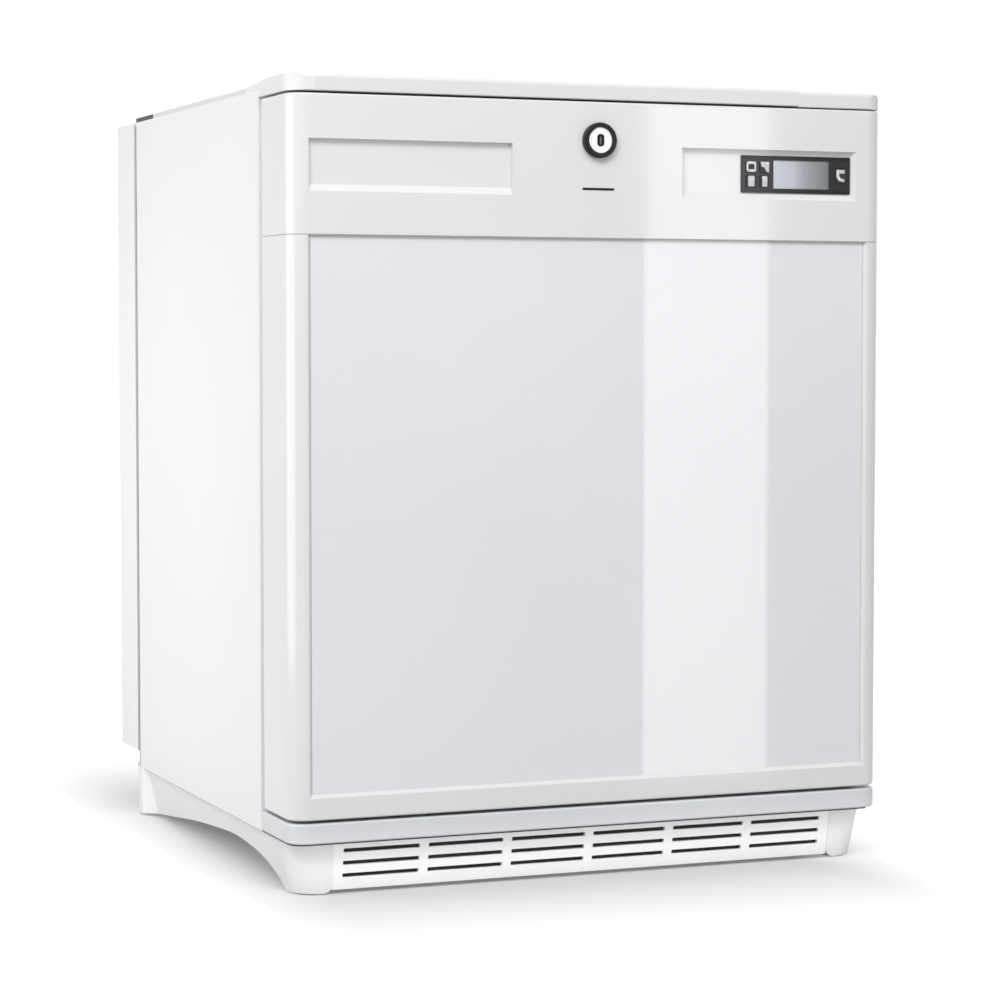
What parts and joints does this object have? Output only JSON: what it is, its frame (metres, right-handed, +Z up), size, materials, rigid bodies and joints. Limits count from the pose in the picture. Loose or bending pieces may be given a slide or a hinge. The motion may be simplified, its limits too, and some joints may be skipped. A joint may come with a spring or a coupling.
{
  "type": "medication refrigerator",
  "caption": "Small free-standing absorption refrigerator for medicines, with a lockable right-hinged door, fascia controller, wire shelves, door racks and rear cooling unit.",
  "frame": {"origin": "centre of the footprint box at floor level", "axes": "+Z up, door faces -Y, +X to the right seen from the front"},
  "size_m": [0.483, 0.499, 0.597],
  "materials": {
    "white_plastic": "satin",
    "white_paint": "satin",
    "white_gloss": "gloss",
    "liner_white": "satin",
    "clear_plastic": "clear",
    "black_plastic": "matte",
    "dark_bezel": "gloss",
    "screen_grey": "gloss",
    "key_grey": "matte",
    "board_green": "matte",
    "foam": "matte",
    "grey_rubber": "matte",
    "seal_white": "matte",
    "steel": "brushed",
    "galvanised": "matte",
    "chrome_lock": "polished",
    "aluminium": "satin",
    "black_paint": "satin"
  },
  "bodies": {
    "cabinet": {"plinth": "white_plastic", "plinth_grille": "white_plastic", "bottom_trim": "white_plastic", "top_trim": "white_plastic", "corner_cap": "white_plastic", "hinge_cover": "white_plastic", "drip_tray": "white_plastic", "sensor_probe": "white_plastic", "side_panel_left": "white_paint", "side_panel_right": "white_paint", "front_frame": "white_paint", "top_lid": "white_paint", "rear_cover": "white_paint", "liner": "liner_white", "interior_lamp": "clear_plastic", "air_outlet": "black_plastic", "chimney_frame": "black_plastic", "power_module": "black_plastic", "mains_inlet": "black_plastic", "insulation": "foam", "foot_pads": "grey_rubber", "drain_tube": "grey_rubber", "hinge_plate_top": "steel", "hinge_plate_bottom": "steel", "hinge_screws": "steel", "cover_screws": "steel", "strike_plate": "steel", "shelf_upper": "steel", "shelf_lower": "steel", "heater_cartridge": "steel", "rear_wall": "galvanised", "bottom_pan": "galvanised", "unit_brackets": "galvanised", "boiler_jacket": "galvanised", "evaporator": "aluminium", "absorber_vessel": "black_paint", "absorber_coil": "black_paint", "boiler_tube": "black_paint", "condenser": "black_paint", "evaporator_pipe": "black_paint"},
    "door": {"door_shell": "white_plastic", "door_fascia": "white_plastic", "decor_panel": "white_gloss", "door_foam": "foam", "door_liner": "liner_white", "gasket": "seal_white", "rack_upper": "clear_plastic", "rack_lower": "clear_plastic", "hinge_bushes": "black_plastic", "lock_housing": "dark_bezel", "controller_bezel": "dark_bezel", "screen": "screen_grey", "control_board": "board_green"},
    "lock": {"lock_cylinder": "chrome_lock", "lock_cam": "steel"},
    "body_key_1": {"key_1": "key_grey"},
    "body_key_2": {"key_2": "key_grey"},
    "body_key_3": {"key_3": "key_grey"},
    "body_key_4": {"key_4": "key_grey"},
    "body_key_5": {"key_5": "key_grey"}
  },
  "joints": [
    {"name": "door_hinge", "type": "hinge", "parent": "cabinet", "child": "door", "pos_m": [0.2275, -0.2095, 0.32], "axis": [0, 0, 1], "range_deg": [0, 115]},
    {"name": "lock_turn", "type": "hinge", "parent": "door", "child": "lock", "pos_m": [0, -0.2445, 0.5546], "axis": [0, 1, 0], "range_deg": [0, 90]},
    {"name": "key_1_press", "type": "slide", "parent": "door", "child": "body_key_1", "axis": [0, 1, 0], "range_m": [0, 0.0008], "stiffness_N_per_m": 600},
    {"name": "key_2_press", "type": "slide", "parent": "door", "child": "body_key_2", "axis": [0, 1, 0], "range_m": [0, 0.0008], "stiffness_N_per_m": 600},
    {"name": "key_3_press", "type": "slide", "parent": "door", "child": "body_key_3", "axis": [0, 1, 0], "range_m": [0, 0.0008], "stiffness_N_per_m": 600},
    {"name": "key_4_press", "type": "slide", "parent": "door", "child": "body_key_4", "axis": [0, 1, 0], "range_m": [0, 0.0008], "stiffness_N_per_m": 600},
    {"name": "key_5_press", "type": "slide", "parent": "door", "child": "body_key_5", "axis": [0, 1, 0], "range_m": [0, 0.0008], "stiffness_N_per_m": 600}
  ]
}
